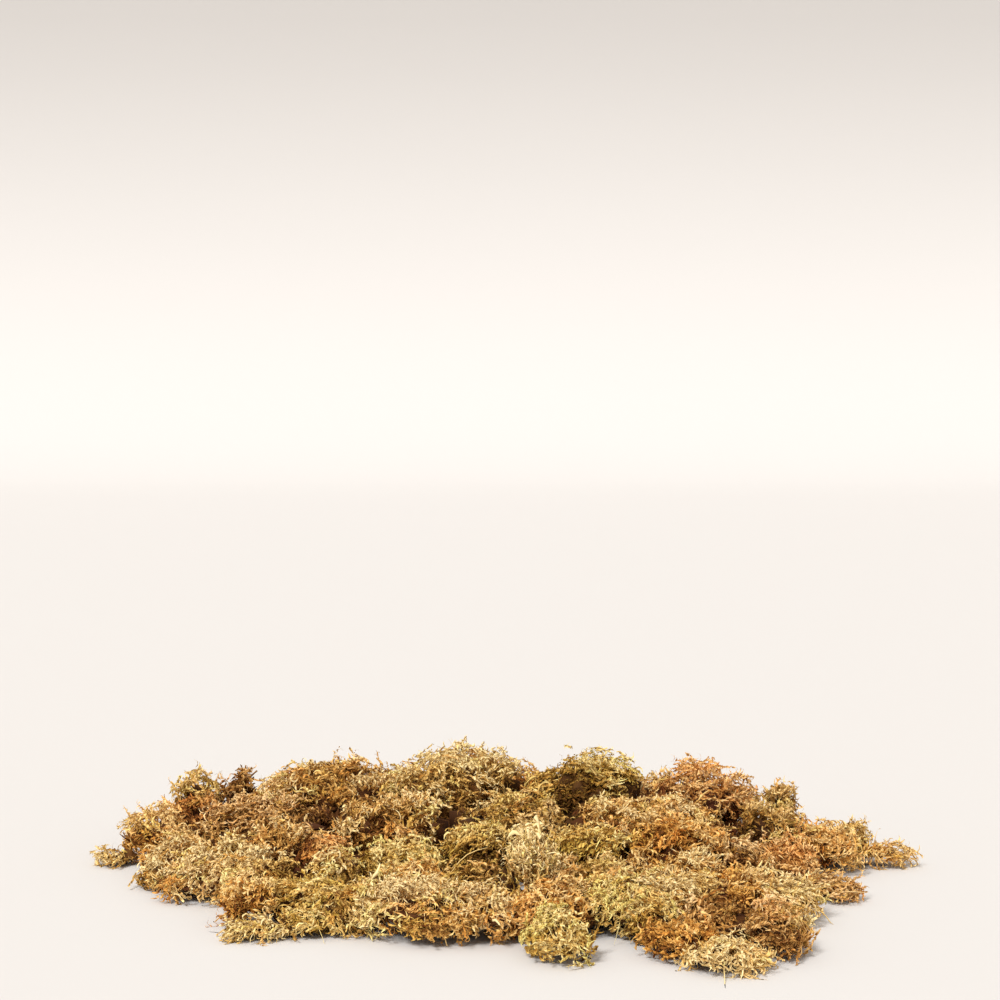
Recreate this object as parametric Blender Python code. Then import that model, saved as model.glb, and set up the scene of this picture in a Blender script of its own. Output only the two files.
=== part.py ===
# A loose clump of dried sphagnum moss, lying on a flat surface.
#
# The clump is a low heap of soft wads that were pulled apart by hand and dropped together.
# Each wad is one solid: a lumpy body whose surface reaches the tips of its strands. Where
# two wads press on each other they share a flat contact face, and where a wad lies on the
# table its underside is flat. X runs to the right along the front of the clump, Y runs
# towards its back and Z is up. The origin is on the table, under the middle of the clump.

import math
from collections import namedtuple

import bmesh
import bpy
from mathutils import Matrix, Vector, noise

MM = 0.001

# Driving dimensions
CONTACT_GAP = 0.3 * MM  # air left between two pressed faces
TABLE_Z = 0.0
PRESS = 1.34  # how much wider a wad would lie if its neighbours didn't press on it
FOOT_SHARE = 0.44  # height of a lying wad's middle, as a share of its height
COARSE_LUMPS = 0.24  # relief of the large lumps, as a share of the wad's radius
FINE_LUMPS = 0.12
COARSE_PITCH = 1.5  # how closely the large lumps follow each other
FINE_PITCH = 3.4
SMALL_WAD = 31  # a wad narrower than this, in mm, gets a coarser skin
FINE_CUTS = 2  # cuts across an icosahedron's edge for a wad's skin
COARSE_CUTS = 1
SLIVER = 0.5 * MM  # edges shorter than this are closed up
CREASE_ANGLE = math.radians(38)

# Colours of the moss, by how it dried: base colour and roughness
MOSSES = {
    "straw_moss": ((0.64, 0.46, 0.22), 0.85),
    "golden_moss": ((0.54, 0.34, 0.12), 0.85),
    "lemon_moss": ((0.48, 0.34, 0.11), 0.85),
    "olive_moss": ((0.30, 0.21, 0.08), 0.88),
    "orange_moss": ((0.52, 0.27, 0.07), 0.85),
    "rust_moss": ((0.36, 0.15, 0.05), 0.88),
    "brown_moss": ((0.27, 0.15, 0.06), 0.90),
}

# A wad: its moss, its place on the table from the middle of the place where the clump is
# deepest (right, back, height of its underside), its size (width, depth, height), its turn
# about Z in degrees, and its peaks, each as (azimuth, elevation, reach, spread in degrees),
# where reach is a share of the wad's radius. All lengths are in mm.
Wad = namedtuple("Wad", "name moss place size turn peaks", defaults=(0, ()))

FRONT_ROW = (
    Wad("front_sheet", "golden_moss", (-17, -110, 0), (40, 28, 15), -10),
    Wad("front_lump", "lemon_moss", (17, -135, 0), (17, 19, 13), 0, ((0, 5, 0.5, 25),)),
    Wad("front_ochre_wad", "orange_moss", (14, -107, 0), (26, 28, 16), 10),
    Wad("yellow_green_wad", "lemon_moss", (36, -104, 0), (22, 24, 16), 20),
    Wad("pale_yellow_wad", "straw_moss", (56, -100, 3), (26, 17, 14), 12, ((8, 30, 0.5, 26),)),
    Wad("hanging_lump", "lemon_moss", (46, -119, 0), (13, 12, 15), 0),
    Wad("dark_stem_wad", "brown_moss", (67, -116, 0), (19, 18, 13), -15),
    Wad("orange_front_wad", "orange_moss", (55, -134, 0), (19, 18, 11), -8, ((170, 50, 0.3, 30),)),
    Wad("straw_fringe", "straw_moss", (66, -146, 0), (21, 16, 8), -6),
    Wad("brown_corner_wad", "brown_moss", (82, -127, 0), (18, 26, 14), 15),
    Wad("orange_ridge", "orange_moss", (75, -97, 0), (15, 22, 17), -10),
    Wad("pale_green_wad", "straw_moss", (89, -94, 0), (19, 18, 13), 10, ((15, 10, 0.35, 22),)),
    Wad("left_front_wad", "golden_moss", (-100, -63, 0), (25, 20, 12), -10),
    Wad("orange_curl", "orange_moss", (-80, -97, 0), (14, 16, 13), 0),
    Wad("yellow_braid", "lemon_moss", (-60, -91, 0), (24, 14, 13), -6),
    Wad("left_fringe", "straw_moss", (-75, -114, 0), (17, 10, 6), 6),
    Wad("fringe_tuft", "lemon_moss", (-58, -108, 0), (17, 13, 9), 4, ((265, 5, 0.4, 20),)),
    Wad("straw_cascade", "straw_moss", (-45, -102, 0), (16, 18, 14), 0),
)

MIDDLE_ROW = (
    Wad("low_left_wad", "golden_moss", (-112, -33, 0), (24, 19, 13), -8),
    Wad("pale_left_wad", "straw_moss", (-93, -41, 0), (20, 19, 16), 0),
    Wad("edge_fringe", "straw_moss", (-114, -50, 0), (16, 12, 8), -14),
    Wad("straw_left_wad", "straw_moss", (-78, -69, 0), (21, 22, 16), 10),
    Wad("left_peak", "golden_moss", (-76, -45, 0), (16, 17, 23), 0, ((120, 66, 0.25, 24),)),
    Wad("brown_peak_side", "rust_moss", (-61, -50, 0), (18, 20, 18), 0, ((70, 60, 0.15, 24),)),
    Wad("straw_tuft", "straw_moss", (-55, -72, 0), (17, 18, 16), 0),
    Wad("lemon_lumps", "lemon_moss", (-35, -54, 0), (23, 20, 16), -14, ((150, 55, 0.2, 24),)),
    Wad("orange_tuft", "orange_moss", (-28, -80, 0), (19, 20, 16), 0),
    Wad("olive_wad", "olive_moss", (-6, -80, 0), (26, 22, 16), 0),
    Wad("green_roll", "lemon_moss", (-6, -55, 4), (23, 18, 19), -10),
    Wad("pale_tuft", "straw_moss", (10, -80, 2), (15, 13, 24), 0, ((112, 62, 0.35, 20), (55, 60, 0.3, 18))),
    Wad("arch_braid", "lemon_moss", (30, -57, 5), (26, 14, 18), 12),
    Wad("olive_brown_wad", "olive_moss", (33, -80, 0), (25, 22, 16), 0),
    Wad("rust_mound", "orange_moss", (59, -53, 0), (28, 24, 23), 0),
    Wad("gold_slope", "golden_moss", (62, -79, 0), (30, 22, 17), 8),
    Wad("brown_slope", "brown_moss", (82, -58, 0), (19, 28, 17), 0),
    Wad("red_brown_wad", "rust_moss", (97, -48, 0), (20, 26, 16), -12),
    Wad("small_tail", "brown_moss", (109, -66, 0), (15, 12, 9), -8, ((0, 5, 0.3, 24),)),
)

SIDE_WADS = (
    Wad("left_ochre_wad", "orange_moss", (-124, -6, 0), (20, 25, 17), 0),
    Wad("rust_wad", "rust_moss", (-113, 16, 0), (23, 24, 19), 0),
    Wad("left_knob", "olive_moss", (-117, 36, 0), (12, 17, 23), 0),
    Wad("brown_knob", "brown_moss", (-100, 41, 0), (14, 18, 27), 0),
    Wad("far_left_tuft", "straw_moss", (-137, -16, 0), (11, 10, 6), 0),
    Wad("right_olive_wad", "olive_moss", (96, -10, 0), (22, 26, 21), 0),
    Wad("right_knob", "olive_moss", (104, 14, 0), (13, 17, 24), 0, ((60, 60, 0.15, 22),)),
    Wad("orange_right_wad", "orange_moss", (115, -22, 0), (20, 24, 17), 0),
    Wad("pale_top_wad", "straw_moss", (126, -7, 0), (13, 17, 15), 0),
    Wad("right_tail", "orange_moss", (135, -17, 0), (15, 12, 9), -10, ((-5, 8, 0.3, 24),)),
)

DEEP_WADS = (
    Wad("inner_left_wad", "brown_moss", (-82, -11, 0), (42, 36, 25), 0),
    Wad("inner_middle_left_wad", "golden_moss", (-40, -18, 0), (42, 42, 28), 15),
    Wad("inner_middle_right_wad", "olive_moss", (4, -20, 0), (44, 40, 29), 0),
    Wad("inner_right_wad", "golden_moss", (51, -18, 0), (50, 42, 28), -10),
    Wad("crown_left_wad", "golden_moss", (-62, 26, 0), (46, 42, 30), 0),
    Wad("crown_wad", "straw_moss", (-16, 28, 0), (46, 44, 34), 10),
    Wad("crown_right_wad", "lemon_moss", (30, 28, 0), (46, 42, 33), -8),
    Wad("right_shoulder_wad", "rust_moss", (72, 26, 0), (42, 38, 27), 0),
    Wad("back_corner_wad", "golden_moss", (-84, 54, 0), (24, 20, 15), 30),
    Wad("back_left_wad", "olive_moss", (-47, 61, 0), (42, 28, 20), 8),
    Wad("back_wad", "orange_moss", (-2, 66, 0), (44, 26, 21), 0),
    Wad("back_right_wad", "golden_moss", (44, 62, 0), (40, 28, 20), -6),
    Wad("back_tail", "straw_moss", (83, 55, 0), (30, 20, 13), -28),
)

WADS = FRONT_ROW + MIDDLE_ROW + SIDE_WADS + DEEP_WADS


def clear_scene():
    for obj in list(bpy.data.objects):
        bpy.data.objects.remove(obj)


def moss_material(name):
    colour, roughness = MOSSES[name]
    material = bpy.data.materials.get(name) or bpy.data.materials.new(name)
    material.use_nodes = True
    shader = material.node_tree.nodes["Principled BSDF"]
    shader.inputs["Base Color"].default_value = (*colour, 1)
    shader.inputs["Roughness"].default_value = roughness
    shader.inputs["Metallic"].default_value = 0
    return material


def direction(azimuth, elevation):
    a, e = math.radians(azimuth), math.radians(elevation)
    return Vector((math.cos(a) * math.cos(e), math.sin(a) * math.cos(e), math.sin(e)))


class Body:
    """A wad's plain ellipsoid: its middle, its half sizes and the matrix that turns it."""

    def __init__(self, wad):
        right, back, under = (length * MM for length in wad.place)
        width, depth, height = (length * MM for length in wad.size)
        if under == 0:
            middle, half_height = FOOT_SHARE * height, (1 - FOOT_SHARE) * height
        else:
            middle, half_height = under + height / 2, height / 2
        self.centre = Vector((right, back, middle))
        self.half = Vector((PRESS * width / 2, PRESS * depth / 2, half_height))
        self.turn = Matrix.Rotation(math.radians(wad.turn), 3, "Z")
        self.reach = max(self.half) * (1 + COARSE_LUMPS + sum(peak[2] for peak in wad.peaks))
        inverse = Matrix.Diagonal([1 / h**2 for h in self.half])
        self.metric = self.turn @ inverse @ self.turn.transposed()

    def span(self, step):
        """The length of step, counted in the ellipsoid's own radii."""
        return math.sqrt(step.dot(self.metric @ step))


def lumpiness(heading, seed, peaks):
    """The radius of the lumpy surface along heading, as a share of the ellipsoid's radius."""
    shift = Vector((seed * 7.3, seed * 3.1, seed * 5.7))
    radius = 1 + COARSE_LUMPS * noise.noise(heading * COARSE_PITCH + shift)
    radius += FINE_LUMPS * noise.noise(heading * FINE_PITCH + shift)
    for azimuth, elevation, reach, spread in peaks:
        off = math.degrees(heading.angle(direction(azimuth, elevation)))
        radius += reach * math.exp(-((off / spread) ** 2))
    return radius


def contact_plane(one, other):
    """The point and the normal of the face that two wads press on each other with."""
    step = other.centre - one.centre
    share = other.span(step) / (one.span(step) + other.span(step))
    normal = ((one.metric + other.metric) @ step).normalized()
    return one.centre + step * share, normal


def cut_flat(bm, point, normal):
    """Cuts off what lies beyond the plane and closes the cut with one flat face."""
    if all((v.co - point).dot(normal) <= 0 for v in bm.verts):
        return
    parts = bm.verts[:] + bm.edges[:] + bm.faces[:]
    bmesh.ops.bisect_plane(bm, geom=parts, dist=1e-7, plane_co=point, plane_no=normal, clear_outer=True)
    bmesh.ops.holes_fill(bm, edges=[e for e in bm.edges if e.is_boundary], sides=0)


def make_wad(index, wad, bodies, clump):
    body = bodies[index]
    bm = bmesh.new()
    bmesh.ops.create_icosphere(bm, subdivisions=1, radius=1)
    cuts = COARSE_CUTS if wad.size[0] < SMALL_WAD else FINE_CUTS
    bmesh.ops.subdivide_edges(bm, edges=bm.edges[:], cuts=cuts, use_grid_fill=True)
    for v in bm.verts:
        v.co.normalize()
    for azimuth, elevation, _, _ in wad.peaks:
        tip = direction(azimuth, elevation)
        nearest = min(bm.verts, key=lambda v: (v.co - tip).length)
        nearest.co = tip
    for v in bm.verts:
        heading = v.co.copy()
        radius = lumpiness(heading, index + 1, wad.peaks)
        stretched = Vector(h * r for h, r in zip(body.half, heading * radius))
        v.co = body.centre + body.turn @ stretched

    for other_index, other in enumerate(bodies):
        apart = (other.centre - body.centre).length
        if other_index != index and apart < body.reach + other.reach:
            point, normal = contact_plane(body, other)
            cut_flat(bm, point - normal * CONTACT_GAP / 2, normal)
    bmesh.ops.dissolve_degenerate(bm, edges=bm.edges[:], dist=SLIVER)
    cut_flat(bm, Vector((0, 0, TABLE_Z)), Vector((0, 0, -1)))
    bmesh.ops.triangulate(bm, faces=bm.faces[:])
    bmesh.ops.recalc_face_normals(bm, faces=bm.faces[:])

    bm.transform(Matrix.LocRotScale(body.centre, body.turn.to_quaternion(), None).inverted())

    mesh = bpy.data.meshes.new(wad.name)
    bm.to_mesh(mesh)
    bm.free()
    mesh.shade_smooth()
    mesh.set_sharp_from_angle(angle=CREASE_ANGLE)
    mesh.materials.append(moss_material(wad.moss))
    obj = bpy.data.objects.new(wad.name, mesh)
    obj.location = body.centre
    obj.rotation_euler.z = math.radians(wad.turn)
    obj.parent = clump
    bpy.context.scene.collection.objects.link(obj)
    return obj


def settle_on_origin(clump, wads):
    """Moves the clump so that the origin is on the table, under the middle of its box."""
    bpy.context.view_layer.update()
    points = [obj.matrix_world @ v.co for obj in wads for v in obj.data.vertices]
    low = Vector(min(p[axis] for p in points) for axis in range(3))
    high = Vector(max(p[axis] for p in points) for axis in range(3))
    middle = (low + high) / 2
    clump.location -= Vector((middle.x, middle.y, low.z))


def main():
    clear_scene()
    clump = bpy.data.objects.new("moss_clump", None)
    bpy.context.scene.collection.objects.link(clump)
    bodies = [Body(wad) for wad in WADS]
    wads = [make_wad(index, wad, bodies, clump) for index, wad in enumerate(WADS)]
    settle_on_origin(clump, wads)


main()
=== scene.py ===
import math

import bpy
import numpy as np
from mathutils import Matrix, Vector, noise
from mathutils.bvhtree import BVHTree


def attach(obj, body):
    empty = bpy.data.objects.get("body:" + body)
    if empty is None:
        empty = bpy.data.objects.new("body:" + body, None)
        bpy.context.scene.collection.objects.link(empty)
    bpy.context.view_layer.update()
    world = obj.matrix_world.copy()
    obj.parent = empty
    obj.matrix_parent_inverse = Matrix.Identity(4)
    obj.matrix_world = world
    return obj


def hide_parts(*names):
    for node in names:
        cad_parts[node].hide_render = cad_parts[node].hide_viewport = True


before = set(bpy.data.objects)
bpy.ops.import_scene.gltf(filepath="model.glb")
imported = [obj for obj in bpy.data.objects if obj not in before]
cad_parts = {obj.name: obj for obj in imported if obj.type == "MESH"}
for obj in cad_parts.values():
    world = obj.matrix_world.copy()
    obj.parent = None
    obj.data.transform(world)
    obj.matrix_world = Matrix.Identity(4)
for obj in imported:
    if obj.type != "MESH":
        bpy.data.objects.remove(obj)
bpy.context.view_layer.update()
mm = 0.001
scene = bpy.context.scene


# ---- the camera stands where the photograph was taken

cameraLook = {
    "place": (-0.00185, -0.68423, 0.165),
    "tiltDown": 2.78,  # degrees
    "lens": 71.53,
}


def setCamera():
    bpy.ops.object.select_all(action="DESELECT")
    bpy.ops.object.camera_add(location=cameraLook["place"], rotation=(math.radians(90 - cameraLook["tiltDown"]), 0, 0))
    camera = bpy.context.object
    camera.name = "photoCamera"
    camera.data.sensor_width = 36
    camera.data.lens = cameraLook["lens"]
    camera.data.clip_start = 0.01
    scene.camera = camera


setCamera()
print("camera is set")


# ---- materials

class Wire:  # a node's output that can be reckoned with
    def __init__(self, bench, socket):
        self.bench = bench
        self.socket = socket

    def reckon(self, operation, a, b):
        return self.bench.node("ShaderNodeMath", {"operation": operation}, {0: a, 1: b})

    def __add__(self, other):
        return self.reckon("ADD", self, other)

    __radd__ = __add__

    def __sub__(self, other):
        return self.reckon("SUBTRACT", self, other)

    def __rsub__(self, other):
        return self.reckon("SUBTRACT", other, self)

    def __mul__(self, other):
        return self.reckon("MULTIPLY", self, other)

    __rmul__ = __mul__


class Bench:  # one material and its nodes
    def __init__(self, name):
        self.material = bpy.data.materials.new(name)
        self.material.use_nodes = True
        self.tree = self.material.node_tree
        self.shader = self.tree.nodes["Principled BSDF"]

    def node(self, kind, settings=None, inputs=None, output=0):
        made = self.tree.nodes.new(kind)
        for key, value in (settings or {}).items():
            if key == "stops":
                ramp = made.color_ramp
                while len(ramp.elements) < len(value):
                    ramp.elements.new(0.5)
                for element, (position, colour) in zip(ramp.elements, value):
                    element.position = position
                    element.color = (*colour, 1)
            elif key == "interpolation":
                made.color_ramp.interpolation = value
            else:
                setattr(made, key, value)
        for key, value in (inputs or {}).items():
            self.feed(made.inputs[key], value)
        return Wire(self, made.outputs[output])

    def feed(self, socket, value):
        if isinstance(value, Wire):
            self.tree.links.new(value.socket, socket)
        else:
            socket.default_value = value

    def tinted(self, colour, tint, amount=1.0):
        settings = {"data_type": "RGBA", "blend_type": "MULTIPLY"}
        return self.node("ShaderNodeMix", settings, {0: amount, 6: colour, 7: tint}, 2)


def fromScreen(red, green, blue):  # a screen colour, 0 to 255, as light
    return tuple(((c / 255 + 0.055) / 1.055) ** 2.4 if c > 10 else c / 3295 for c in (red, green, blue))


# Every strand's map runs across its tone, from dry and dark to bleached, and up one of four
# rows: plain, foxy, green and bleached. The low tones also carry painted shade, set where a strand
# lies low, shut in or underneath. Up a row it goes from the strand's root to its tip, darker at the
# root as painted shade.
mossLook = {
    "rows": 4,
    "rowTints": ((1.0, 1.0, 1.0), (1.08, 0.94, 0.78), (0.95, 1.0, 0.80), (1.05, 1.07, 1.02)),
    # painted shade: each strand darker at its root, where it lies under the others, and partly the browner moss near
    # the root
    "paintedRootShade": (
        (0.0, (0.36, 0.25, 0.12)),
        (0.2, (0.78, 0.67, 0.5)),
        (0.44, (1.0, 1.0, 1.0)),
        (1.0, (1.02, 1.02, 1.0)),
    ),
    "streaks": (110.0, 42.0),  # across and along
    "bumpHeight": 0.12 * mm,
}

mossColours = {
    "straw_moss": ((126, 84, 22), (223, 181, 100), (245, 212, 138), (247, 226, 172)),
    "golden_moss": ((110, 64, 10), (214, 165, 86), (243, 202, 126), (247, 224, 170)),
    "lemon_moss": ((98, 62, 6), (210, 169, 80), (241, 205, 120), (246, 226, 160)),
    "olive_moss": ((90, 54, 6), (186, 142, 68), (228, 187, 108), (242, 212, 150)),
    "orange_moss": ((116, 64, 8), (219, 162, 76), (244, 197, 114), (248, 217, 154)),
    "rust_moss": ((104, 52, 10), (196, 135, 66), (233, 179, 106), (246, 207, 146)),
    "brown_moss": ((98, 56, 12), (190, 139, 71), (228, 183, 114), (242, 209, 156)),
}


def makeMoss(slot):
    bench = Bench(slot)
    place = bench.node("ShaderNodeUVMap", {"uv_map": "OFBake"})
    tone = bench.node("ShaderNodeSeparateXYZ", None, {0: place}, 0)
    row = bench.node("ShaderNodeSeparateXYZ", None, {0: place}, 1)
    rows = mossLook["rows"]
    along = bench.node("ShaderNodeMath", {"operation": "FRACT"}, {0: row * rows})

    stops = [(at, fromScreen(*c)) for at, c in zip((0.0, 0.36, 0.68, 1.0), mossColours[slot])]
    colour = bench.node("ShaderNodeValToRGB", {"stops": stops}, {0: tone})
    tints = [(i / rows, tint) for i, tint in enumerate(mossLook["rowTints"])]
    tint = bench.node("ShaderNodeValToRGB", {"stops": tints, "interpolation": "CONSTANT"}, {0: row})
    colour = bench.tinted(colour, tint)
    # painted shade towards each strand's root
    shade = bench.node("ShaderNodeValToRGB", {"stops": mossLook["paintedRootShade"]}, {0: along})
    colour = bench.tinted(colour, shade)

    across, up = mossLook["streaks"]
    spot = bench.node("ShaderNodeVectorMath", {"operation": "MULTIPLY"}, {0: place, 1: (across, up, 1)})
    fibre = bench.node("ShaderNodeTexNoise", None, {"Vector": spot, "Scale": 1.0, "Detail": 3.0, "Roughness": 0.6})
    grain = 0.80 + 0.40 * fibre
    colour = bench.tinted(colour, bench.node("ShaderNodeCombineColor", None, {0: grain, 1: grain, 2: grain}))
    bench.feed(bench.shader.inputs["Base Color"], colour)
    bench.feed(bench.shader.inputs["Roughness"], 0.68 + 0.3 * fibre)
    bump = bench.node("ShaderNodeBump", None, {"Height": fibre, "Strength": 0.5, "Distance": mossLook["bumpHeight"]})
    bench.feed(bench.shader.inputs["Normal"], bump)
    bench.feed(bench.shader.inputs["Specular IOR Level"], 0.3)
    return bench.material


mosses = {slot: makeMoss(slot) for slot in mossColours}
print("materials are made:", len(mosses))


# ---- single strands, each pulled out ring by ring and bent as it dried
# A strand starts at the origin, grows up Z and curls towards +X. It is wide along Y.
# The leaves are thin ribbons. The branches, stems and heads are solid, from a small triangle.

leafLooks = {
    "chip": {"length": 2.3, "widths": (0.5, 0.85, 0.6, 0.2), "bends": (14, 36, 48), "twist": -26, "share": 0.12},
    "tick": {"length": 2.9, "widths": (0.45, 0.7, 0.55, 0.2), "bends": (30, 54, 60), "twist": 18, "share": 0.14},
    "frond": {"length": 3.6, "widths": (0.45, 0.74, 0.68, 0.5, 0.15), "bends": (14, 36, 50, 58), "twist": -20, "share": 0.12},
    "fibre": {"length": 4.2, "widths": (0.4, 0.58, 0.56, 0.42, 0.15), "bends": (10, 28, 42, 50), "twist": 14, "share": 0.16},
    "crook": {"length": 4.1, "widths": (0.42, 0.6, 0.58, 0.44, 0.18), "bends": (18, 56, 70, 64), "twist": 22, "share": 0.15},
    "ripple": {"length": 4.4, "widths": (0.4, 0.6, 0.58, 0.44, 0.15), "bends": (38, -14, -52, -40), "twist": 28, "share": 0.1},
    "lazy": {"length": 5.6, "widths": (0.36, 0.5, 0.46, 0.38, 0.12), "bends": (8, 20, 28, 34), "twist": -10, "share": 0.05},
    "curl": {"length": 5.8, "widths": (0.38, 0.56, 0.55, 0.46, 0.36, 0.12), "bends": (24, 46, 60, 70, 76), "twist": 18, "share": 0.1},
    "wave": {"length": 6.2, "widths": (0.38, 0.54, 0.54, 0.5, 0.38, 0.12), "bends": (32, 8, -30, -52, -30), "twist": 16, "share": 0.06},
}
scaleLooks = {  # the leaves of a branch
    "scale": {"length": 2.2, "widths": (0.55, 0.86, 0.3), "bends": (12, 60), "twist": 26, "share": 0.44},
    "blade": {"length": 2.9, "widths": (0.5, 0.76, 0.56, 0.2), "bends": (8, 42, 62), "twist": -30, "share": 0.36},
    "spur": {"length": 3.6, "widths": (0.42, 0.6, 0.44, 0.15), "bends": (20, 46, 56), "twist": 34, "share": 0.20},
}
leafyLooks = {
    "leafyArc": {"length": 8.4, "widths": (0.7, 1.0, 1.05, 0.95, 0.8, 0.25), "bends": (12, 18, 22, 26, 26), "twist": 10},
    "leafyWave": {"length": 8.8, "widths": (0.7, 1.0, 1.05, 0.95, 0.8, 0.25), "bends": (24, 10, -12, -28, -20), "twist": -8},
    "leafyHook": {"length": 7.4, "widths": (0.7, 1.05, 1.1, 1.0, 0.85, 0.25), "bends": (6, 20, 34, 42, 40), "twist": 14},
}
stemLooks = {
    "stem": {"length": 15.0, "widths": (0.62, 0.6, 0.56, 0.52, 0.5, 0.4, 0.2), "bends": (6, 12, -6, 14, 18, 10), "twist": 14},
    "hair": {"length": 11.0, "widths": (0.34, 0.34, 0.32, 0.3, 0.26, 0.2, 0.1), "bends": (12, 16, 24, 26, 30, 36), "twist": -20},
}
headArm = {"length": 3.2, "widths": (0.5, 0.72, 0.55, 0.15), "bends": (10, 26, 34), "twist": 12}
flatness = 0.46  # a strand's thickness, as a share of its width


def growStrand(name, look, sides):
    bpy.ops.object.select_all(action="DESELECT")
    width = look["widths"][0] * mm
    if sides == 2:
        bpy.ops.mesh.primitive_plane_add(size=width)
    else:
        bpy.ops.mesh.primitive_circle_add(vertices=3, radius=width / 2, fill_type="NGON")
    strand = bpy.context.object
    strand.name = name
    bpy.ops.object.mode_set(mode="EDIT")
    bpy.ops.mesh.select_all(action="SELECT")
    if sides == 2:  # only an edge stays of the plane
        bpy.ops.mesh.select_all(action="DESELECT")
        bpy.ops.object.mode_set(mode="OBJECT")
        for vertex in strand.data.vertices:
            vertex.select = vertex.co.x < 0
        bpy.ops.object.mode_set(mode="EDIT")
        bpy.ops.mesh.delete(type="VERT")
        bpy.ops.mesh.select_all(action="SELECT")
        bpy.ops.transform.translate(value=(-width / 2, 0, 0))
    else:
        bpy.ops.transform.resize(value=(flatness, 1, 1))
    step = look["length"] * mm / len(look["bends"])
    centre, heading, lean = Vector(), Vector((0, 0, 1)), 0
    for bend, before, after in zip(look["bends"], look["widths"], look["widths"][1:]):
        lean += math.radians(bend)
        heading = Vector((math.sin(lean), 0, math.cos(lean)))
        bpy.ops.mesh.extrude_region_move(TRANSFORM_OT_translate={"value": heading * step})
        centre += heading * step
        share = after / before
        bpy.ops.transform.resize(value=(share, share, share), center_override=centre)
        turn = {"center_override": centre, "orient_type": "GLOBAL"}
        bpy.ops.transform.rotate(value=-math.radians(bend), orient_axis="Y", **turn)
        bpy.ops.transform.rotate(value=math.radians(look["twist"]), orient_axis="Z", **turn)
    bpy.ops.mesh.select_all(action="SELECT")
    bpy.ops.mesh.normals_make_consistent(inside=False)
    bpy.ops.object.mode_set(mode="OBJECT")
    return strand


def addLeaves(strand, every):  # pulls small pointed leaves out of a strand's sides
    sides = [f.index for f in strand.data.polygons if len(f.vertices) == 4]
    bpy.ops.object.mode_set(mode="EDIT")
    bpy.ops.mesh.select_mode(type="FACE")
    for number, index in enumerate(sides):
        if number % every:
            continue
        bpy.ops.mesh.select_all(action="DESELECT")
        bpy.ops.object.mode_set(mode="OBJECT")
        face = strand.data.polygons[index]
        corners = sorted((strand.data.vertices[v].co for v in face.vertices), key=lambda c: c.z)
        forward = (corners[3] + corners[2] - corners[1] - corners[0]).normalized()
        outward = face.normal.copy()
        middle = face.center.copy()
        face.select = True
        bpy.ops.object.mode_set(mode="EDIT")
        out = outward * 0.42 * mm + forward * 0.55 * mm
        bpy.ops.mesh.extrude_region_move(TRANSFORM_OT_translate={"value": out})
        bpy.ops.transform.resize(value=(0.22, 0.22, 0.22), center_override=middle + out)
    bpy.ops.mesh.select_mode(type="VERT")
    bpy.ops.object.mode_set(mode="OBJECT")


def makeHead(name, curl, arms):  # a star-shaped head: short curls turned out all round
    bpy.ops.object.select_all(action="DESELECT")
    made = []
    for number in range(arms):
        arm = curl.copy()
        arm.data = curl.data.copy()
        scene.collection.objects.link(arm)
        tilt = math.radians(12 if number == 0 else 48 + 26 * (number % 2))
        turn = math.radians(number * 360 / (arms - 1))
        arm.data.transform(Matrix.Rotation(turn, 4, "Z") @ Matrix.Rotation(tilt, 4, "Y"))
        arm.select_set(True)
        made.append(arm)
    bpy.context.view_layer.objects.active = made[0]
    bpy.ops.object.join()
    made[0].name = name
    return made[0]


def asPattern(strand, rings, sides):  # a strand as arrays, with its place from root to tip and around
    mesh = strand.data
    points = np.array([v.co for v in mesh.vertices])
    corners = np.array([v for f in mesh.polygons for v in f.vertices])
    sizes = np.array([len(f.vertices) for f in mesh.polygons])
    whole = sides * rings
    step = np.arange(len(points))
    along = (step % whole) // sides / (rings - 1)
    if len(points) % whole:  # leaves come after the rings, and take the place of what they grow on
        for i in step[whole:]:
            along[i] = along[np.argmin(((points[:whole] - points[i]) ** 2).sum(1))]
    around = (step % sides) / sides
    return {"points": points, "corners": corners, "sizes": sizes, "along": along, "around": around,
            "triangles": int((sizes - 2).sum())}


patterns = {}
for name, look in {**leafLooks, **scaleLooks, **leafyLooks, **stemLooks, "arm": headArm}.items():
    sides = 2 if name in leafLooks or name in scaleLooks else 3
    strand = growStrand(name, look, sides)
    rings = len(look["widths"])
    if name in leafyLooks:
        addLeaves(strand, 2)
    patterns[name] = asPattern(strand, rings, sides)
    if name == "arm":
        head = makeHead("head", strand, 9)
        patterns["head"] = asPattern(head, rings, sides)
        bpy.data.objects.remove(head)
    bpy.data.objects.remove(strand)
print("strands are modelled:", {name: p["triangles"] for name, p in patterns.items()})


# ---- how each wad lies
# comb: where the strands' tips point, in degrees from +X towards +Y; order: how alike they lie;
# lift: degrees above the surface; length and thick: against the plain strand; rise: how far they
# stand up (or, below 0, hang); heads: star heads; crown: heads on its very top; stems: long bare
# stems; tone: darker or paler; relief: how lumpy; braid: how far leaves sweep out of its one branch;
# sink: how far (mm) it has settled below the tufts round it; shade: how much painted shade darkens
# it towards its bottom; hollow: how deep (mm) it is drawn in below its top.

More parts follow.
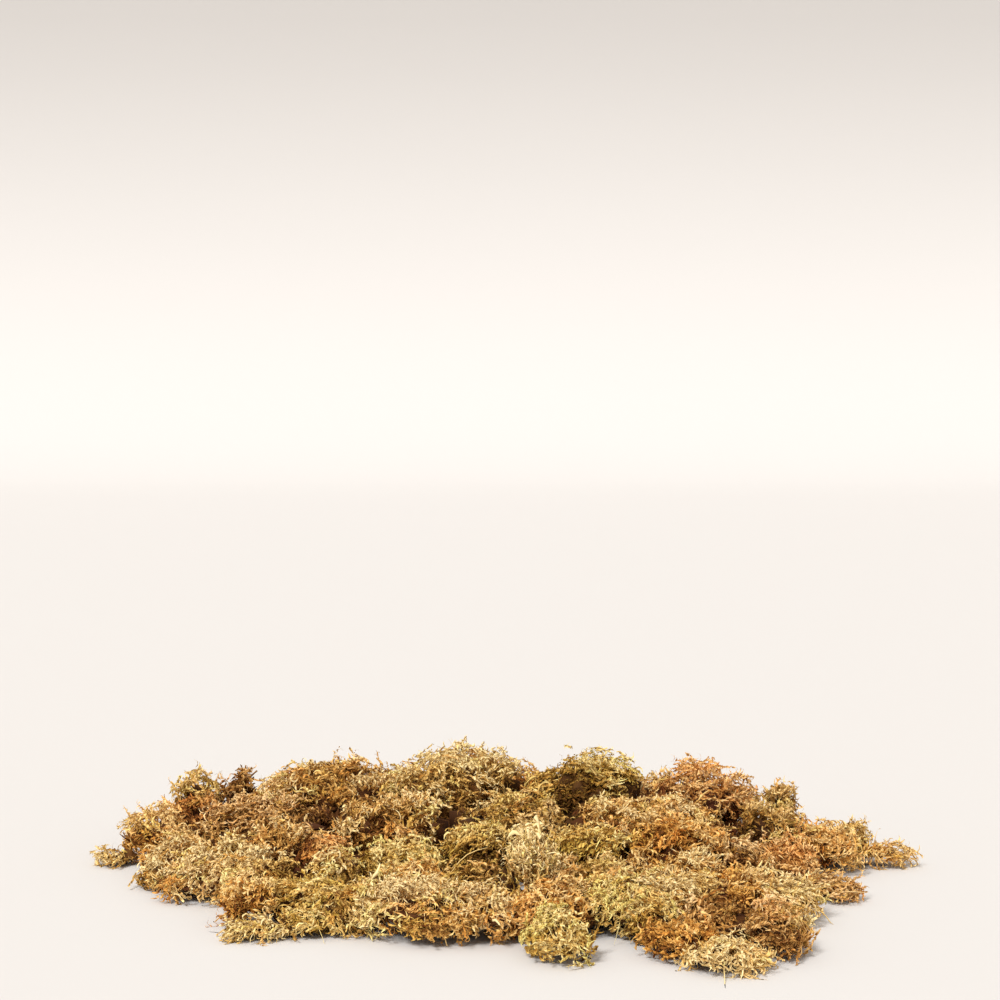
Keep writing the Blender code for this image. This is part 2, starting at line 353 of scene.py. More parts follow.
wadDefaults = {
    "comb": -90, "order": 0.45, "lift": 14, "length": 1.0, "thick": 1.0, "dense": 1.0, "rise": 0.0,
    "heads": 0, "crown": 0, "stems": 2, "tone": 0.0, "relief": 1.0, "braid": 0.0, "sink": 0.0, "shade": 0.26, "hollow": 0.0,
}
rowShares = {
    "straw_moss": (0.66, 0.08, 0.10, 0.16),
    "golden_moss": (0.62, 0.18, 0.10, 0.10),
    "lemon_moss": (0.62, 0.08, 0.22, 0.08),
    "olive_moss": (0.60, 0.10, 0.24, 0.06),
    "orange_moss": (0.62, 0.24, 0.05, 0.09),
    "rust_moss": (0.62, 0.24, 0.06, 0.08),
    "brown_moss": (0.64, 0.16, 0.12, 0.08),
}
wadLooks = {
    "front_sheet": ("golden_moss", {"comb": -60, "order": 0.62, "lift": 26, "length": 1.05, "stems": 6, "tone": 0.26}),
    "front_lump": ("lemon_moss", {"comb": -70, "order": 0.2, "length": 0.75, "tone": 0.20}),
    "front_ochre_wad": ("orange_moss", {"comb": -80, "order": 0.4, "stems": 4}),
    "yellow_green_wad": ("lemon_moss", {"comb": -75, "order": 0.35, "length": 0.85, "tone": 0.34, "shade": 0.12}),
    "pale_yellow_wad": ("straw_moss", {"comb": -20, "order": 0.6, "tone": 0.12, "shade": 0.3}),
    "hanging_lump": ("lemon_moss", {"comb": -90, "order": 0.3, "length": 0.8, "tone": 0.12}),
    "dark_stem_wad": ("brown_moss", {"comb": -120, "order": 0.8, "lift": 14, "length": 1.2, "stems": 14, "tone": -0.16}),
    "orange_front_wad": ("orange_moss", {"comb": 170, "order": 0.4, "length": 0.9}),
    "straw_fringe": ("straw_moss", {"comb": -15, "order": 0.6, "lift": 20, "length": 1.15, "stems": 6, "tone": 0.24}),
    "brown_corner_wad": ("brown_moss", {"comb": -40, "order": 0.6, "lift": 22, "stems": 8, "tone": 0.10}),
    "orange_ridge": ("orange_moss", {"comb": -70, "order": 0.4, "heads": 3, "tone": 0.10}),
    "pale_green_wad": ("straw_moss", {"comb": 10, "order": 0.6, "lift": 26, "tone": 0.22, "stems": 6}),
    "left_front_wad": ("golden_moss", {"comb": -120, "order": 0.3, "length": 0.85, "tone": 0.05}),
    "orange_curl": ("orange_moss", {"comb": -100, "order": 0.3, "tone": 0.06}),
    "yellow_braid": ("lemon_moss", {"comb": 174, "order": 0.7, "length": 0.9, "tone": 0.08, "relief": 0.5, "braid": 0.6}),
    "left_fringe": ("straw_moss", {"comb": 180, "order": 0.6, "lift": 18, "length": 1.0, "tone": 0.1}),
    "fringe_tuft": ("lemon_moss", {"comb": -100, "order": 0.4, "length": 0.85, "tone": 0.1}),
    "straw_cascade": ("straw_moss", {"comb": -95, "order": 0.6, "length": 1.1, "rise": -0.8, "tone": 0.04}),
    "low_left_wad": ("golden_moss", {"comb": -165, "order": 0.7, "lift": 20, "length": 1.1, "tone": 0.28}),
    "pale_left_wad": ("straw_moss", {"comb": -90, "order": 0.3, "length": 0.9, "tone": 0.06}),
    "edge_fringe": ("straw_moss", {"comb": -150, "order": 0.3, "length": 0.85, "tone": 0.06}),
    "straw_left_wad": ("straw_moss", {"comb": -80, "order": 0.35, "length": 0.9, "tone": 0.06}),
    "left_peak": ("golden_moss", {"comb": 130, "order": 0.5, "lift": 30, "length": 1.1, "heads": 2, "tone": 0.16}),
    "brown_peak_side": ("rust_moss", {"comb": -30, "order": 0.4, "tone": 0.04}),
    "straw_tuft": ("straw_moss", {"comb": -60, "order": 0.45, "lift": 26, "heads": 2, "tone": 0.06}),
    "lemon_lumps": ("lemon_moss", {"comb": -60, "order": 0.4, "length": 0.95, "tone": 0.06}),
    "orange_tuft": ("orange_moss", {"comb": -80, "order": 0.5, "lift": 26, "tone": 0.05}),
    "olive_wad": ("olive_moss", {"comb": -50, "order": 0.4, "lift": 24, "length": 1.1, "stems": 6, "tone": -0.22}),
    "green_roll": ("lemon_moss", {"comb": 172, "order": 0.9, "lift": 8, "length": 1.1, "tone": 0.1, "relief": 0.3,
                   "braid": 0.8, "shade": 0.4, "hollow": 5.0}),
    "pale_tuft": ("straw_moss", {"comb": 90, "order": 0.75, "lift": 16, "length": 1.4, "rise": 3.0, "crown": 7,
                  "tone": 0.54, "relief": 0.3, "stems": 3, "dense": 1.3, "sink": 2.6, "shade": 0.2}),
    "arch_braid": ("lemon_moss", {"comb": 196, "order": 0.8, "lift": 8, "length": 1.1, "tone": 0.1, "relief": 0.35,
                   "braid": 0.7, "shade": 0.4, "hollow": 4.0}),
    "olive_brown_wad": ("olive_moss", {"comb": -100, "order": 0.4, "length": 1.1, "stems": 6, "tone": 0.06}),
    "rust_mound": ("orange_moss", {"comb": 60, "order": 0.3, "lift": 26, "heads": 4, "tone": -0.19, "stems": 5}),
    "gold_slope": ("golden_moss", {"comb": -90, "order": 0.4, "length": 0.9}),
    "brown_slope": ("brown_moss", {"comb": -60, "order": 0.4, "tone": -0.12, "stems": 5}),
    "red_brown_wad": ("rust_moss", {"comb": -100, "order": 0.5, "length": 1.1, "tone": 0.20}),
    "small_tail": ("brown_moss", {"comb": 0, "order": 0.7, "lift": 24, "tone": 0.16}),
    "left_ochre_wad": ("orange_moss", {"comb": 180, "order": 0.4, "tone": 0.16}),
    "rust_wad": ("rust_moss", {"comb": -150, "order": 0.3, "length": 0.85}),
    "left_knob": ("olive_moss", {"comb": 90, "order": 0.2, "lift": 20, "heads": 5, "length": 0.8, "tone": -0.01}),
    "brown_knob": ("brown_moss", {"comb": 90, "order": 0.2, "lift": 20, "heads": 4, "length": 0.85, "tone": 0.10}),
    "far_left_tuft": ("straw_moss", {"comb": 180, "order": 0.3, "length": 0.7, "tone": 0.20}),
    "right_olive_wad": ("olive_moss", {"comb": 20, "order": 0.4, "stems": 7, "tone": 0.08}),
    "right_knob": ("olive_moss", {"comb": 60, "order": 0.3, "lift": 18, "heads": 3, "tone": 0.06, "length": 0.85}),
    "orange_right_wad": ("orange_moss", {"comb": 0, "order": 0.35, "tone": 0.36}),
    "pale_top_wad": ("straw_moss", {"comb": 30, "order": 0.3, "tone": 0.14}),
    "right_tail": ("orange_moss", {"comb": -5, "order": 0.6, "lift": 26, "tone": 0.48}),
    # The inner wads' low tones are painted shade for the hollow behind the front ridge.
    "inner_left_wad": ("brown_moss", {"comb": -110, "order": 0.35, "tone": -0.04, "sink": 3.0}),
    "inner_middle_left_wad": ("golden_moss", {"comb": -70, "order": 0.4, "tone": -0.16, "sink": 4.5}),
    "inner_middle_right_wad": ("olive_moss", {"comb": -100, "order": 0.35, "tone": -0.14, "sink": 5.0}),
    "inner_right_wad": ("golden_moss", {"comb": -50, "order": 0.4, "tone": -0.16, "sink": 4.5}),
    "crown_left_wad": ("golden_moss", {"comb": 150, "order": 0.3}),
    "crown_wad": ("straw_moss", {"comb": -60, "order": 0.3, "tone": -0.04, "relief": 1.5, "sink": 2.0}),
    "crown_right_wad": ("lemon_moss", {"comb": 20, "order": 0.4, "tone": -0.04, "relief": 1.6, "sink": 3.0}),
    "right_shoulder_wad": ("rust_moss", {"comb": 40, "order": 0.35, "tone": 0.08, "relief": 1.5, "sink": 1.5}),
    "back_corner_wad": ("golden_moss", {"comb": 140, "order": 0.4}),
    "back_left_wad": ("olive_moss", {"comb": 100, "order": 0.4, "tone": 0.08}),
    "back_wad": ("orange_moss", {"comb": 90, "order": 0.4}),
    "back_right_wad": ("golden_moss", {"comb": 70, "order": 0.4}),
    "back_tail": ("straw_moss", {"comb": 30, "order": 0.5}),
}

plan = {
    "strands": 22000,  # loose ones, over the whole clump
    "branches": 13000,
    "leafyShare": 0.009,
    "frontShare": 1.2,  # how much denser the front is than the back
    "core": 4.2,  # mm that a wad's dark middle lies under its surface
    "meet": 0.5,  # mm that it bulges where wads meet
    "foot": 9.0,  # mm above the table up to which it closes the gap to the next wad
    "footReach": 14.0,
    "rootDepth": 1.6,
    "lump": 9.5,  # mm, the length of one lock of leaves
    "lumpHeight": 4.8,
    "broadHeight": 5.0,
    "pitDepth": 6.0,
    "rays": 9,
    "seed": 41,
}


def smoothed(node, levels):  # a copy of a wad's solid, merged and rounded
    bpy.ops.object.select_all(action="DESELECT")
    copy = bpy.data.objects.new(node + "_copy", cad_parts[node].data.copy())
    copy.data.materials.clear()
    scene.collection.objects.link(copy)
    copy.select_set(True)
    bpy.context.view_layer.objects.active = copy
    bpy.ops.object.mode_set(mode="EDIT")
    bpy.ops.mesh.select_all(action="SELECT")
    bpy.ops.mesh.remove_doubles(threshold=0.00001)
    bpy.ops.object.mode_set(mode="OBJECT")
    if levels:
        bpy.ops.object.modifier_add(type="SUBSURF")
        copy.modifiers[0].levels = levels
        copy.modifiers[0].render_levels = levels
        bpy.ops.object.modifier_apply(modifier=copy.modifiers[0].name)
    return copy


def meshArrays(mesh):
    mesh.calc_loop_triangles()
    points = np.zeros(len(mesh.vertices) * 3)
    mesh.vertices.foreach_get("co", points)
    normals = np.zeros(len(mesh.vertices) * 3)
    mesh.vertices.foreach_get("normal", normals)
    triangles = np.zeros(len(mesh.loop_triangles) * 3, int)
    mesh.loop_triangles.foreach_get("vertices", triangles)
    return points.reshape(-1, 3), normals.reshape(-1, 3), triangles.reshape(-1, 3)


def solidsTree():  # all wads' solids together, to see what a strand is shaded or hidden by
    points, faces, owners = [], [], []
    for number, node in enumerate(wadLooks):
        p, _, t = meshArrays(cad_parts[node].data)
        faces += (t + len(points)).tolist()
        points += p.tolist()
        owners += [number] * len(t)
    return BVHTree.FromPolygons(points, faces), owners


tree, treeOwners = solidsTree()


def isOpen(start, way, owner):  # True if nothing but the wad itself lies that way
    reach = 45 * mm
    if way.z < 0 and start.z + way.z * reach < 0:
        return False
    for _ in range(4):
        hit, _, index, far = tree.ray_cast(start, way, reach)
        if hit is None:
            return True
        if treeOwners[index] != owner:
            return False
        start = hit + way * 1e-5
        reach -= far
    return True


def unit(vectors):
    return vectors / np.maximum(np.linalg.norm(vectors, axis=1, keepdims=True), 1e-12)


def fibonacci(count):  # directions spread over a half ball about +Z
    k = np.arange(count) + 0.5
    z = 1 - 0.93 * k / count
    turn = k * 2.399963
    r = np.sqrt(1 - z * z)
    return np.stack([r * np.cos(turn), r * np.sin(turn), z], 1)


def frames(z, x):  # turn matrices with Z along z and X near x
    x = unit(x - (x * z).sum(1, keepdims=True) * z)
    y = np.cross(z, x)
    return np.stack([x, y, z], 2)


def surveyWad(number, node):  # how open a wad's rounded surface lies, at each of its points
    slot, changes = wadLooks[node]
    look = {**wadDefaults, **changes}
    rounded = smoothed(node, 2)
    points, normals, triangles = meshArrays(rounded.data)
    bpy.data.objects.remove(rounded)
    sky = fibonacci(plan["rays"])
    up = np.array([0, 0, 1.0])
    bases = frames(unit(normals + 0.45 * up), np.broadcast_to([0.31, 0.83, 0.11], normals.shape))
    ways = np.einsum("nij,kj->nki", bases, sky)
    open_ = np.zeros(len(points))
    for i in np.flatnonzero(normals[:, 2] > -0.75):
        start = Vector(points[i] + normals[i] * 0.4 * mm)
        start.z = max(start.z, 0.5 * mm)
        open_[i] = sum(isOpen(start, Vector(way), number) for way in ways[i]) / len(sky)
    corners = points[triangles]
    area = np.linalg.norm(np.cross(corners[:, 1] - corners[:, 0], corners[:, 2] - corners[:, 0]), axis=1) / 2
    light = open_[triangles].mean(1)
    share = area * (0.4 + 0.6 * light) * (light > 0.04)
    return {"number": number, "node": node, "slot": slot, "look": look, "points": points, "normals": normals,
            "triangles": triangles, "open": open_, "middle": points.mean(0), "share": share, "weight": share.sum()}


def pickPlaces(survey, count, rng):  # places strewn over what shows of a wad
    picked = rng.choice(len(survey["share"]), count, p=survey["share"] / survey["weight"])
    a, b = rng.random(count), rng.random(count)
    over = a + b > 1
    a[over], b[over] = 1 - a[over], 1 - b[over]
    weights = np.stack([1 - a - b, a, b], 1)
    corners = survey["triangles"][picked]
    place = (survey["points"][corners] * weights[:, :, None]).sum(1)
    normal = unit((survey["normals"][corners] * weights[:, :, None]).sum(1))
    return place, normal, (survey["open"][corners] * weights).sum(1)


surveys = [surveyWad(number, node) for number, node in enumerate(wadLooks)]
print("wads are surveyed:", sum(len(s["points"]) for s in surveys), "points")


def noiseAt(places, scale, shift):
    return np.array([noise.noise(Vector(p) * scale + Vector(shift)) for p in places])


def findLumps():  # locks of leaves over the whole clump, running on from wad to wad
    rng = np.random.default_rng(plan["seed"] * 3)
    strewn = [pickPlaces(s, 40 + int(s["weight"] * 1.6e5), rng)[0] for s in surveys]
    owner = np.repeat(np.arange(len(surveys)), [len(p) for p in strewn])
    order = rng.permutation(len(owner))
    every, owner = np.concatenate(strewn)[order], owner[order]
    chosen = [0]
    for i in range(1, len(every)):
        if ((every[chosen] - every[i]) ** 2).sum(1).min() > (plan["lump"] * mm * 0.7) ** 2:
            chosen.append(i)
    middle, looks = every[chosen], [surveys[i]["look"] for i in owner[chosen]]
    count = len(chosen)
    loose = np.array([1 - look["order"] for look in looks])
    comb = np.array([look["comb"] for look in looks]) + 80 * loose * rng.normal(0, 1, count)
    comb = np.radians(comb + 50 * noiseAt(middle, 30, (3, 1, 7)))
    return {
        "middle": middle,
        "axis": np.stack([np.cos(comb), np.sin(comb), np.zeros(count)], 1),
        "weight": rng.uniform(0.8, 1.25, count),
        "rise": rng.normal(0, 0.9, count) * mm,
        "tone": rng.normal(0, 0.1, count),
        "pick": rng.random(count),
    }


lumps = findLumps()
print("locks are placed:", len(lumps["middle"]))


def nearLumps(place):  # each place's own lock, how far inside, how far along and how far aside it is
    away = place[:, None] - lumps["middle"][None]
    along = (away * lumps["axis"]).sum(2)
    apart = np.sqrt(np.maximum((away**2).sum(2) - 0.6 * along**2, 0)) * lumps["weight"]
    pair = np.argpartition(apart, 2, axis=1)[:, :2]
    far = np.take_along_axis(apart, pair, 1)
    swapped = far[:, 0] > far[:, 1]
    pair[swapped] = pair[swapped][:, ::-1]
    far.sort(axis=1)
    mine, rows = pair[:, 0], np.arange(len(place))
    edge = np.clip((far[:, 1] - far[:, 0]) / (plan["lump"] * mm * 0.52), 0, 1)
    along = along[rows, mine]
    aside = (away[rows, mine] - along[:, None] * lumps["axis"][mine]) / (plan["lump"] * mm * 0.4)
    end = np.clip(along / (plan["lump"] * mm * 0.6), -1, 1)
    return mine, edge * edge * (3 - 2 * edge), end, np.clip(aside, -1, 1)


def smooth(values, low, high):
    t = np.clip((values - low) / (high - low), 0, 1)
    return t * t * (3 - 2 * t)


def pitAt(place):  # 1 in the small dark holes between the locks
    return smooth(-noiseAt(place, 66, (5, 9, 4)), 0.14, 0.40)


def reliefAt(place, mine, edge, end, share):
    swell = plan["lumpHeight"] * mm * (edge - 0.6) + lumps["rise"][mine] * edge + 1.3 * mm * end * edge
    broad = plan["broadHeight"] * mm * noiseAt(place, 48, (7, 3, 2))
    return (swell + broad - plan["pitDepth"] * mm * pitAt(place)) * share + 0.8 * mm * noiseAt(place, 170, (9, 2, 5))


def wadRelief(survey, places, mine, edge, end):  # a small wad is less lumpy than a large one
    least = np.ptp(survey["points"], axis=0).min()
    share = survey["look"]["relief"] * np.clip(least / (17 * mm), 0.45, 1)
    relief = np.maximum(reliefAt(places, mine, edge, end, share), -0.22 * least)
    low, high = survey["points"][:, 2].min(), survey["points"][:, 2].max()
    rise = (places[:, 2] - low) / (high - low)
    return relief - survey["look"]["hollow"] * mm * np.exp(-(((rise - 0.52) / 0.17) ** 2))


def layStrands(survey, wanted, rng):
    look = survey["look"]
    place, normal, open_ = pickPlaces(survey, wanted, rng)
    stays = rng.random(len(place)) > 0.2 * pitAt(place) * min(look["relief"], 1)
    place, normal, open_ = place[stays], normal[stays], open_[stays]
    count = len(place)
    mine, edge, end, aside = nearLumps(place)
    loose = 1 - look["order"]

    flow = lumps["axis"][mine] * 1.0
    if look["braid"]:  # the whole wad is one branch, with its leaves swept out to both sides
        axis = math.radians(look["comb"])
        flow[:] = (math.cos(axis), math.sin(axis), 0)
        side = np.array([-math.sin(axis), math.cos(axis), 0.0])
        offset = ((place - survey["middle"]) * side).sum(1, keepdims=True) / (5 * mm)
        flow += np.clip(offset, -1, 1) * side * look["braid"]
    else:
        flow += aside * 0.75
    steep = np.clip(np.abs((flow * normal).sum(1)) - 0.6, 0, 1)
    flow[:, 2] += look["rise"] - steep * 0.9
    flow += rng.normal(0, 0.16 + 0.3 * loose, (count, 3))
    flow = unit(flow - (flow * normal).sum(1, keepdims=True) * normal)

    lift = np.radians(look["lift"] + rng.normal(0, 10, count) + 12 * (1 - edge) + 8 * end)
    heading = flow * np.cos(lift)[:, None] + normal * np.sin(lift)[:, None]
    curlDown = rng.random(count) < 0.8
    lean = np.where(curlDown[:, None], -normal, normal) + rng.normal(0, 0.5, (count, 3))
    turns = frames(unit(heading), lean)

    relief = wadRelief(survey, place, mine, edge, end) - look["sink"] * mm
    depth = plan["rootDepth"] * mm * rng.uniform(0.4, 1.3, count)
    root = place + normal * (relief - depth)[:, None]

    # painted shade in the tone: lower in the relief's hollows, where less of the sky is open, and at the edges between
    # locks
    tone = 0.685 + look["tone"] + 0.13 * np.clip(relief / mm + look["sink"], -4.5, 2.5) + 0.30 * (open_ - 0.55) + 0.1 * end
    tone = tone + rng.normal(0, 0.08, count) + lumps["tone"][mine] + 0.26 * (edge - 0.6)
    tone = tone + 0.16 * noiseAt(place, 38, (4, 8, 1))
    low, high = survey["points"][:, 2].min(), survey["points"][:, 2].max()
    # painted shade: darker towards the wad's bottom, by its shade
    tone = tone - look["shade"] * smooth(-(place[:, 2] - low) / (high - low), -0.66, -0.22)
    shares = np.cumsum(rowShares[survey["slot"]])
    lumpRow = np.searchsorted(shares[:3], lumps["pick"][mine])
    row = np.where(rng.random(count) < 0.55, lumpRow, np.searchsorted(shares[:3], rng.random(count)))
    length = look["length"] * rng.uniform(0.7, 1.3, count)
    thick = look["thick"] * rng.uniform(0.6, 1.2, count)
    return {"root": root, "turns": turns, "tone": tone, "row": row, "length": length, "thick": thick,
            "count": count, "place": place, "normal": normal, "flow": flow, "lift": lift,
            "relief": relief}


branchLook = {
    "leaves": 11,
    "length": 7.8 * mm,
    "girth": 0.3 * mm,
    "depth": 1.8 * mm,  # how deep the lowest of them lie
    "spread": 28,  # degrees that its leaves stand off it, less towards its tip
    "sway": 70,  # degrees that it bends aside
    "droop": 36,  # and down
}


def growBranches(laid, rng):  # sets leaves round the branches that lie on a wad
    count, leaves = laid["count"], branchLook["leaves"]
    step = np.arange(leaves) / (leaves - 1)
    flow, normal = laid["flow"], laid["normal"]
    side = np.cross(normal, flow)
    sway = np.radians(branchLook["sway"]) * rng.normal(0, 0.8, (count, 1)) * (step - 0.3)
    climb = 0.6 * laid["lift"][:, None] + np.radians(branchLook["droop"]) * rng.normal(-0.7, 0.7, (count, 1)) * step
    heading = (np.cos(climb) * np.cos(sway))[..., None] * flow[:, None]
    heading = heading + (np.cos(climb) * np.sin(sway))[..., None] * side[:, None]
    heading = heading + np.sin(climb)[..., None] * normal[:, None]
    length = branchLook["length"] * laid["length"]
    sunk = rng.random(count)
    start = laid["place"] + normal * (laid["relief"] - branchLook["depth"] * sunk)[:, None]
    start = start - flow * (0.4 * length)[:, None]
    spots = start[:, None] + np.cumsum(heading * (length / leaves)[:, None, None], 1)

    up = normal[:, None] - (normal[:, None] * heading).sum(2, keepdims=True) * heading
    up = up / np.maximum(np.linalg.norm(up, axis=2, keepdims=True), 1e-9)
    around = rng.uniform(-2.0, 2.0, (count, leaves))[..., None]
    outward = np.cos(around) * up + np.sin(around) * np.cross(heading, up)
    spread = np.radians(branchLook["spread"]) * rng.uniform(0.6, 1.35, (count, leaves)) * (1 - 0.5 * step)
    way = heading * np.cos(spread)[..., None] + outward * np.sin(spread)[..., None]
    inward = np.where(rng.random((count, leaves, 1)) < 0.8, -1, 1) * outward
    inward = inward + rng.normal(0, 0.3, inward.shape)
    size = (1.08 - 0.3 * step) * rng.uniform(0.8, 1.2, (count, leaves))
    # painted shade: branches sunk deeper in the mat are darker
    tone = (laid["tone"] - 0.12 * sunk)[:, None] + 0.06 * step + rng.normal(0, 0.03, (count, leaves))
    spots = spots + outward * (branchLook["girth"] * (1 - 0.6 * step))[None, :, None]
    return {
        "root": spots.reshape(-1, 3),
        "turns": frames(unit(way.reshape(-1, 3)), inward.reshape(-1, 3)),
        "tone": tone.ravel(),
        "row": np.repeat(laid["row"], leaves),
        "length": size.ravel(),
        "thick": ((0.4 + 0.65 * laid["thick"])[:, None] * size).ravel(),
    }


def joinStrands(laid, kinds):  # every strand of a wad as one set of arrays
    points, corners, sizes, uvs, offset = [], [], [], [], 0
    for name in np.unique(kinds):
        which = np.flatnonzero(kinds == name)
        pattern = patterns[name]
        length, thick = laid["length"][which, None], laid["thick"][which, None]
        local = np.stack([pattern["points"][None, :, 0] * length, pattern["points"][None, :, 1] * thick,
                          pattern["points"][None, :, 2] * length], 2)
        world = np.einsum("nij,nkj->nki", laid["turns"][which], local) + laid["root"][which][:, None]
        count = len(pattern["points"])
        tone = np.clip(laid["tone"][which], 0.01, 0.975)[:, None] + 0.016 * pattern["around"][None]
        along = 0.03 + 0.94 * pattern["along"][None]
        high = (laid["row"][which][:, None] + along) / mossLook["rows"]
        starts = offset + np.arange(len(which)) * count
        corners.append((starts[:, None] + pattern["corners"][None]).ravel())
        sizes.append(np.tile(pattern["sizes"], len(which)))
        points.append(world.reshape(-1, 3))
        uvs.append(np.stack([np.broadcast_to(tone, world.shape[:2]), high], 2).reshape(-1, 2))
        offset += len(which) * count
    return [np.concatenate(part) for part in (points, corners, sizes, uvs)]


def makeCore(survey):  # the dark, matted middle of a wad; its dark colour is painted shade in the gaps between strands, and partly the browner inner moss
    core = smoothed(survey["node"], 1)
    points, normals, triangles = meshArrays(core.data)
    middle = points.mean(0)
    least = np.ptp(points, axis=0).min()
    nearest = np.argmin(((points[:, None] - survey["points"][None]) ** 2).sum(2), axis=1)
    open_ = np.maximum(survey["open"][nearest], normals[:, 2] < -0.5)
    open_ = smooth(open_, 0.0, 0.2)  # where wads meet, their middles meet too
    gap = np.full(len(points), plan["meet"] * mm)
    for i in np.flatnonzero(points[:, 2] < plan["foot"] * mm):  # and close the gaps that show the table
        outward = math.atan2(points[i, 1], points[i, 0])
        ways = [Vector((math.cos(outward + turn), math.sin(outward + turn), 0)) for turn in (-0.8, -0.4, 0, 0.4, 0.8)]
        if any(isOpen(Vector(points[i]), way, survey["number"]) for way in ways):
            continue
        near = tree.find_nearest_range(Vector(points[i]), plan["footReach"] * mm)
        away = [hit[3] for hit in near if treeOwners[hit[2]] != survey["number"]]
        if away:
            low = 1 - smooth(points[i, 2], 0.4 * plan["foot"] * mm, plan["foot"] * mm)
            open_[i] *= 1 - low
            gap[i] += min(0.6 * min(away), 4 * mm) * low
    depth = open_ * min(plan["core"] * mm, 0.24 * least) - (1 - open_) * gap
    mine, edge, end, _ = nearLumps(points)
    relief = np.minimum(wadRelief(survey, points, mine, edge, end), 0.5 * mm)
    points = points + normals * ((relief - survey["look"]["sink"] * mm) * open_ - depth)[:, None]
    around = np.arctan2(points[:, 1] - middle[1], points[:, 0] - middle[0]) / math.tau + 0.5
    rise = (points[:, 2] - points[:, 2].min()) / max(np.ptp(points[:, 2]), 1e-9)
    # painted shade: the core takes the darkest tones and the root end of a row
    mottle = 0.04 + 0.06 * noiseAt(points, 260, (2, 2, 9)) + 0.03 * np.sin(around * 60)
    uv = np.stack([np.clip(mottle, 0.01, 0.3), (0.005 + 0.03 * rise) / mossLook["rows"]], 1)
    corners = np.array([v for f in core.data.polygons for v in f.vertices])
    sizes = np.array([len(f.vertices) for f in core.data.polygons])
    bpy.data.objects.remove(core)
    return points, corners, sizes, uv


def buildPiece(name, points, corners, sizes, uv, slot):
    points = points.copy()
    points[:, 2] = np.maximum(points[:, 2], 0.12 * mm)
    mesh = bpy.data.meshes.new(name)
    mesh.vertices.add(len(points))
    mesh.vertices.foreach_set("co", points.ravel())
    mesh.loops.add(len(corners))
    mesh.loops.foreach_set("vertex_index", corners)
    mesh.polygons.add(len(sizes))
    mesh.polygons.foreach_set("loop_start", np.concatenate([[0], np.cumsum(sizes)[:-1]]))
    mesh.update(calc_edges=True)
    layer = mesh.uv_layers.new(name="OFBake")
    layer.uv.foreach_set("vector", uv[corners].ravel())
    mesh.shade_smooth()
    mesh.materials.append(mosses[slot])
    piece = bpy.data.objects.new(name, mesh)
    scene.collection.objects.link(piece)
    return piece


def dressWad(survey, wanted, branches):
    look, node = survey["look"], survey["node"]
    rng = np.random.default_rng(plan["seed"] + survey["number"])
    laid = layStrands(survey, wanted, rng)
    count = laid["count"]
    plain = list(leafLooks)
    kinds = rng.choice(plain, count, p=[leafLooks[name]["share"] for name in plain]).astype("<U12")
    special = rng.permutation(count)
    leafy = int(count * plan["leafyShare"])
    kinds[special[:leafy]] = rng.choice(list(leafyLooks), leafy)
    stems = special[leafy : leafy + look["stems"]]
    kinds[stems] = rng.choice(list(stemLooks), len(stems))
    laid["row"][stems] = 3
    laid["tone"][stems] += 0.08
    laid["turns"][stems] = frames(unit(laid["flow"][stems] + 0.12 * laid["normal"][stems]), -laid["normal"][stems])
    heads = special[leafy + look["stems"] : leafy + look["stems"] + look["heads"]]
    heads = heads[laid["turns"][heads, 2, 2] > -0.2]
    kinds[heads] = "head"
    laid["length"][heads] = laid["thick"][heads] = 1.2
    laid["root"][heads] += laid["turns"][heads, :, 2] * 1.6 * mm
    if look["crown"]:
        spikes = np.argsort(-laid["place"][:, 2])[: look["crown"] * 5 : 5]
        way = unit(0.5 * laid["normal"][spikes] + rng.normal(0, 0.22, (len(spikes), 3)) + (0, -0.1, 1.0))
        laid["turns"][spikes] = frames(way, rng.normal(0, 1, (len(spikes), 3)))
        kinds[spikes] = rng.choice(list(leafyLooks), len(spikes))
        laid["length"][spikes] = rng.uniform(0.8, 1.4, len(spikes))
        laid["thick"][spikes] = 2.6
        laid["tone"][spikes] += 0.15

    leaves = growBranches(layStrands(survey, branches, rng), rng)
    scales = rng.choice(list(scaleLooks), len(leaves["tone"]), p=[s["share"] for s in scaleLooks.values()])
    points, corners, sizes, uv = joinStrands(laid, kinds)
    for more in (joinStrands(leaves, scales), makeCore(survey)):
        corners = np.concatenate([corners, more[1] + len(points)])
        points, sizes, uv = (np.concatenate(pair) for pair in ((points, more[0]), (sizes, more[2]), (uv, more[3])))
    piece = buildPiece(node + "_strands", points, corners, sizes, uv, survey["slot"])
    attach(piece, "root")
    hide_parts(node)
    return int((sizes - 2).sum())


shares = np.array([s["weight"] * s["look"]["dense"] for s in surveys])
shares *= [plan["frontShare"] if s["middle"][1] < 0 else 1 for s in surveys]
shares = shares / shares.sum()
total = 0
for survey, share in zip(surveys, shares):
    total += dressWad(survey, int(share * plan["strands"]), int(share * plan["branches"]))
print("wads are dressed:", total, "triangles")


# ---- floor, backdrop and light

stageLook = {"colour": fromScreen(216, 214, 213), "wall": fromScreen(190, 187, 185), "floor": 6.0, "wide": 5.0, "bend": 1.2}


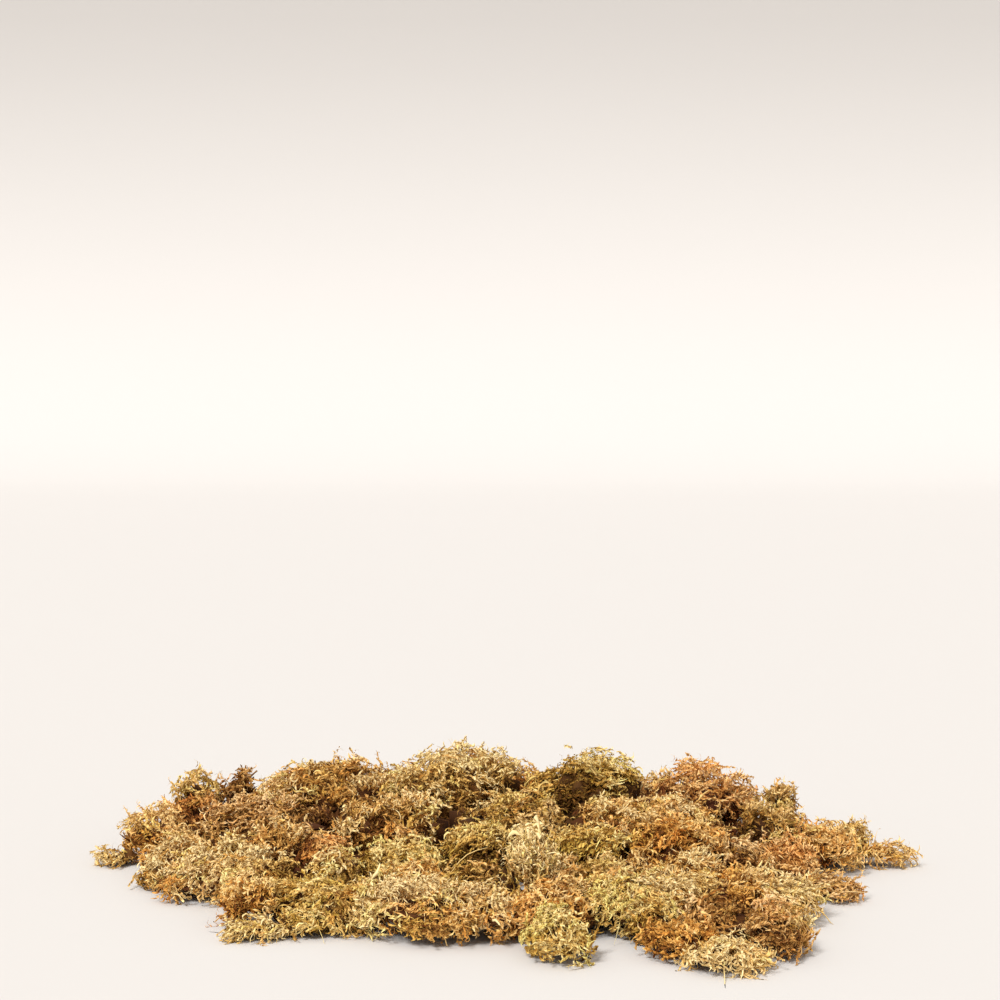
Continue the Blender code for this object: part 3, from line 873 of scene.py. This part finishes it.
def makeStage():
    bpy.ops.object.select_all(action="DESELECT")
    bpy.ops.mesh.primitive_plane_add(size=stageLook["floor"], location=(0, 0, 0))
    floor = bpy.context.object
    floor.name = "paleFloor"
    bpy.ops.object.mode_set(mode="EDIT")
    bpy.ops.transform.resize(value=(stageLook["wide"], stageLook["wide"], 1), center_override=(0, stageLook["floor"] / 2, 0))
    bpy.ops.mesh.select_mode(type="EDGE")
    bpy.ops.mesh.select_all(action="DESELECT")
    bpy.ops.object.mode_set(mode="OBJECT")
    for edge in floor.data.edges:
        edge.select = all(floor.data.vertices[v].co.y > 0 for v in edge.vertices)
    bpy.ops.object.mode_set(mode="EDIT")
    for step in range(8):
        lean = math.radians((step + 0.5) * 90 / 8)
        length = stageLook["bend"] * math.pi / 16
        move = (0, math.cos(lean) * length, math.sin(lean) * length)
        bpy.ops.mesh.extrude_region_move(TRANSFORM_OT_translate={"value": move})
    bpy.ops.mesh.extrude_region_move(TRANSFORM_OT_translate={"value": (0, 0, 3)})
    bpy.ops.mesh.select_mode(type="VERT")
    bpy.ops.object.mode_set(mode="OBJECT")
    bpy.ops.object.shade_smooth()
    bench = Bench("paleCard")
    place = bench.node("ShaderNodeTexCoord", None, None, 3)
    mottle = bench.node("ShaderNodeTexNoise", None, {"Vector": place, "Scale": 2.0})
    high = bench.node("ShaderNodeSeparateXYZ", None, {0: place}, 2)
    stops = [(0.0, stageLook["colour"]), (1.0, stageLook["wall"])]
    colour = bench.node("ShaderNodeValToRGB", {"stops": stops}, {0: high * 0.9 + mottle * 0.02})
    bench.feed(bench.shader.inputs["Base Color"], colour)
    bench.feed(bench.shader.inputs["Roughness"], 0.9)
    bench.feed(bench.shader.inputs["Specular IOR Level"], 0.1)
    floor.data.materials.append(bench.material)


makeStage()

lightLook = {
    "from": (-0.32, -0.62, 0.72),
    "softness": 16,  # degrees across
    "strength": 2.9,
    "colour": (1.0, 0.985, 0.96),
    "room": 0.7,
}


def makeLights():
    bpy.ops.object.select_all(action="DESELECT")
    bpy.ops.object.light_add(type="SUN", location=lightLook["from"])
    lamp = bpy.context.object
    lamp.name = "softKey"
    lamp.data.angle = math.radians(lightLook["softness"])
    lamp.data.energy = lightLook["strength"]
    lamp.data.color = lightLook["colour"]
    lamp.rotation_euler = (-Vector(lightLook["from"])).to_track_quat("-Z", "Y").to_euler()
    world = bpy.data.worlds.new("paleRoom")
    world.use_nodes = True
    sky = world.node_tree.nodes["Background"].inputs
    sky["Color"].default_value = (*fromScreen(254, 247, 238), 1)
    sky["Strength"].default_value = lightLook["room"]
    scene.world = world
    scene.view_settings.view_transform = "Standard"


makeLights()
print("stage and lights are set")
